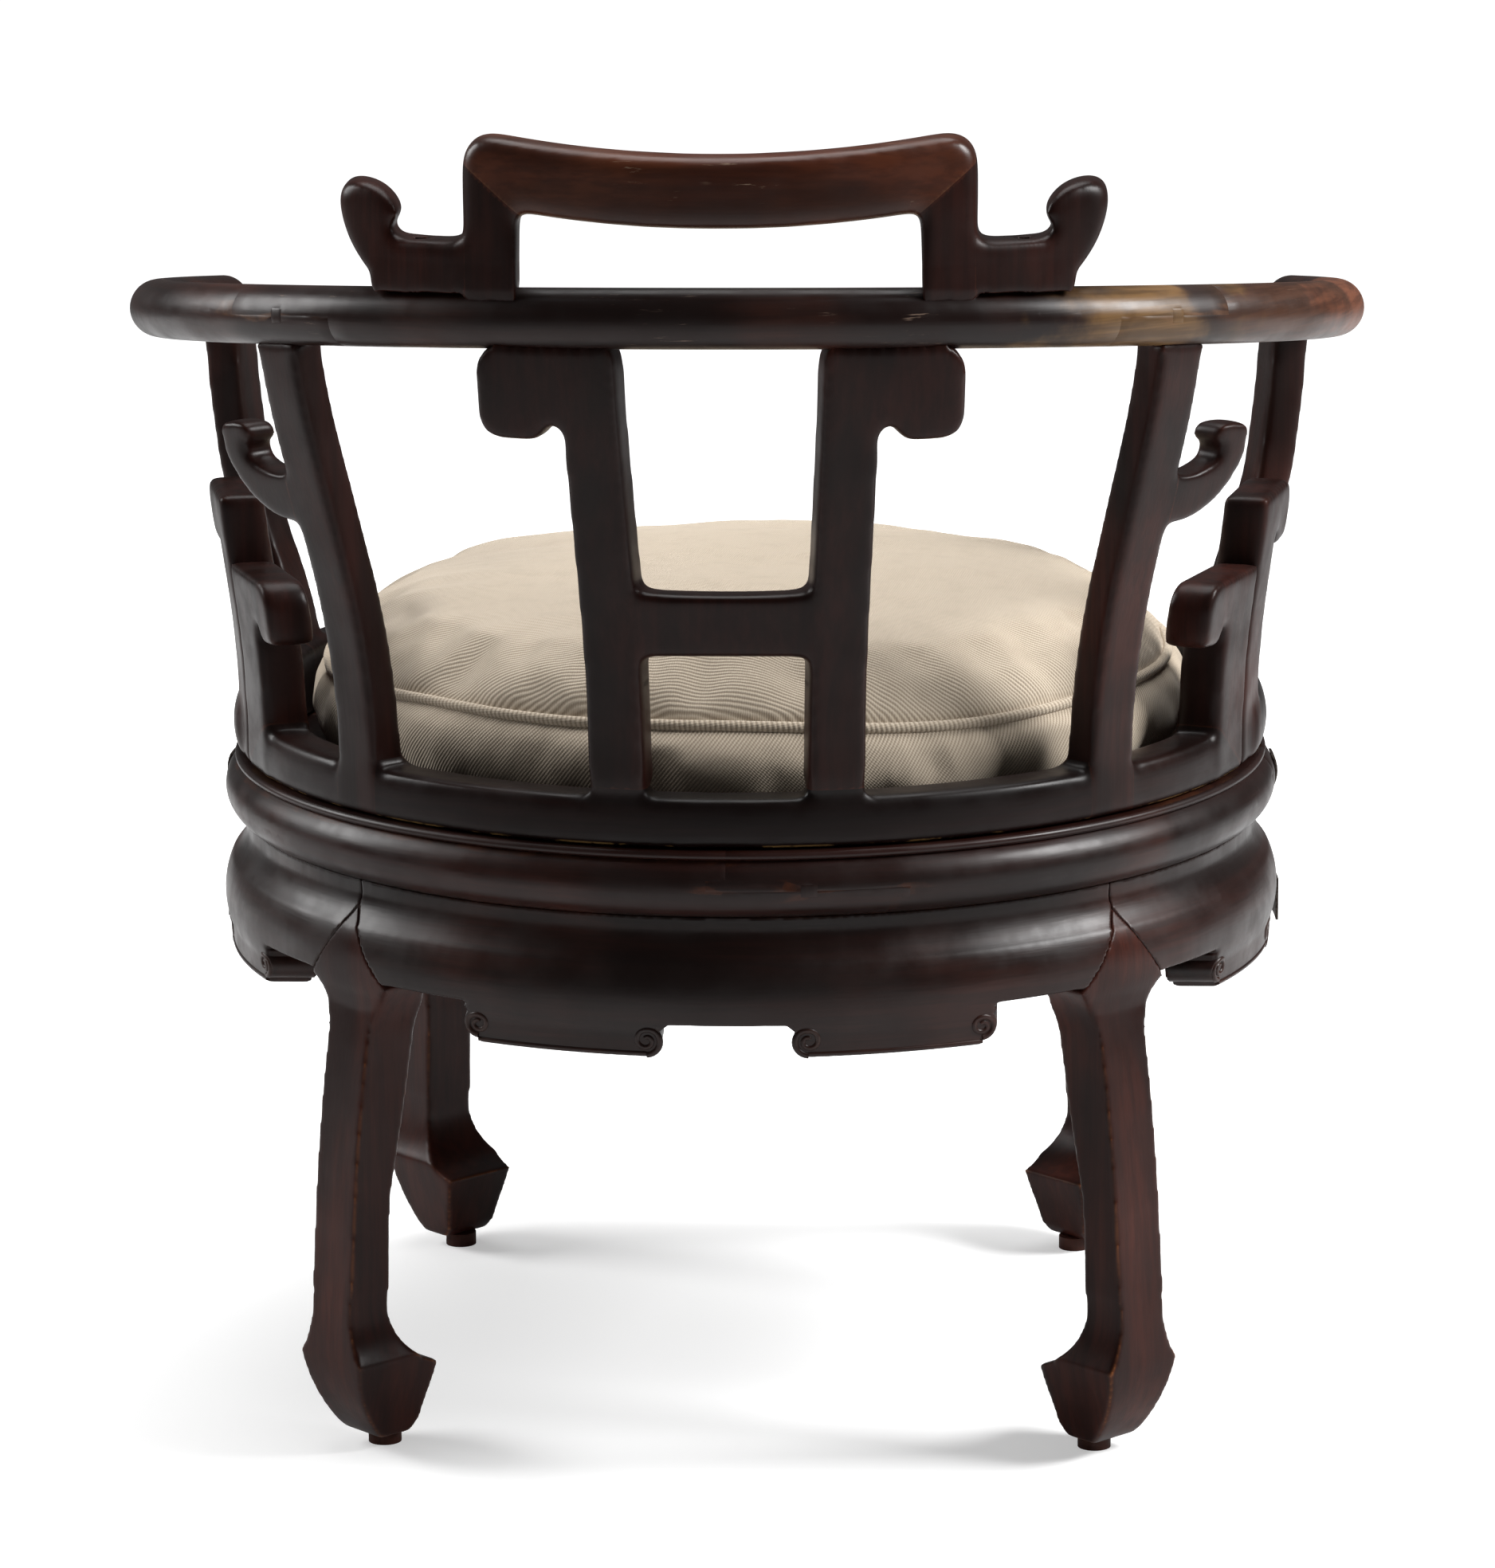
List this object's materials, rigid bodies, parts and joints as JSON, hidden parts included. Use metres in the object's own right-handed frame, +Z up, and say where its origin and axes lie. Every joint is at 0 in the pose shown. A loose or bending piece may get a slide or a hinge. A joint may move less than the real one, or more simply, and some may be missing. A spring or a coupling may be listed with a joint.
{
  "type": "horseshoe back armchair",
  "caption": "Round-seated armchair with a horseshoe arm rail on curved posts, scrolled aprons, horse-hoof legs and a loose round cushion.",
  "frame": {"origin": "middle of the chair's footprint box, on the floor", "axes": "+Z up; a sitter faces -Y, the back rail and crest are at +Y, and +X is the sitter's left"},
  "size_m": [0.7156, 0.6749, 0.7665],
  "materials": {
    "dark_hardwood": "waxed, satin",
    "crest_wood": "waxed, satin, worn warm",
    "pad_wood": "bare, worn",
    "old_iron": "dark, matt",
    "cushion_twill": "ribbed woven twill"
  },
  "bodies": {
    "frame": {"apron_back": "dark_hardwood", "apron_front": "dark_hardwood", "apron_left": "dark_hardwood", "apron_plates": "old_iron", "apron_right": "dark_hardwood", "arm_rail_back": "dark_hardwood", "arm_rail_keys": "dark_hardwood", "arm_rail_left": "dark_hardwood", "arm_rail_right": "dark_hardwood", "base_rail_back": "dark_hardwood", "base_rail_front_left": "dark_hardwood", "base_rail_front_right": "dark_hardwood", "base_rail_left": "dark_hardwood", "base_rail_right": "dark_hardwood", "centre_cross_rail": "dark_hardwood", "centre_post_left": "dark_hardwood", "centre_post_right": "dark_hardwood", "crest_ear_left": "dark_hardwood", "crest_ear_right": "dark_hardwood", "crest_post_left": "dark_hardwood", "crest_post_right": "dark_hardwood", "crest_rail": "crest_wood", "ear_pegs": "dark_hardwood", "foot_pads": "pad_wood", "front_post_left": "dark_hardwood", "front_post_right": "dark_hardwood", "leg_left_back": "dark_hardwood", "leg_left_front": "dark_hardwood", "leg_right_back": "dark_hardwood", "leg_right_front": "dark_hardwood", "rear_bracket_left": "dark_hardwood", "rear_bracket_right": "dark_hardwood", "rear_post_left": "dark_hardwood", "rear_post_right": "dark_hardwood", "ring_keys": "dark_hardwood", "ring_straps": "old_iron", "seat_battens": "dark_hardwood", "seat_panel": "dark_hardwood", "seat_ring_left_back": "dark_hardwood", "seat_ring_left_front": "dark_hardwood", "seat_ring_right_back": "dark_hardwood", "seat_ring_right_front": "dark_hardwood", "short_hook_left": "dark_hardwood", "short_hook_right": "dark_hardwood", "tall_hook_left": "dark_hardwood", "tall_hook_right": "dark_hardwood"},
    "cushion": {"cushion": "cushion_twill"}
  },
  "joints": [
    {"name": "cushion_lift", "type": "slide", "parent": "frame", "child": "cushion", "axis": [0, 0, 1], "range_m": [0, 0.45]}
  ]
}
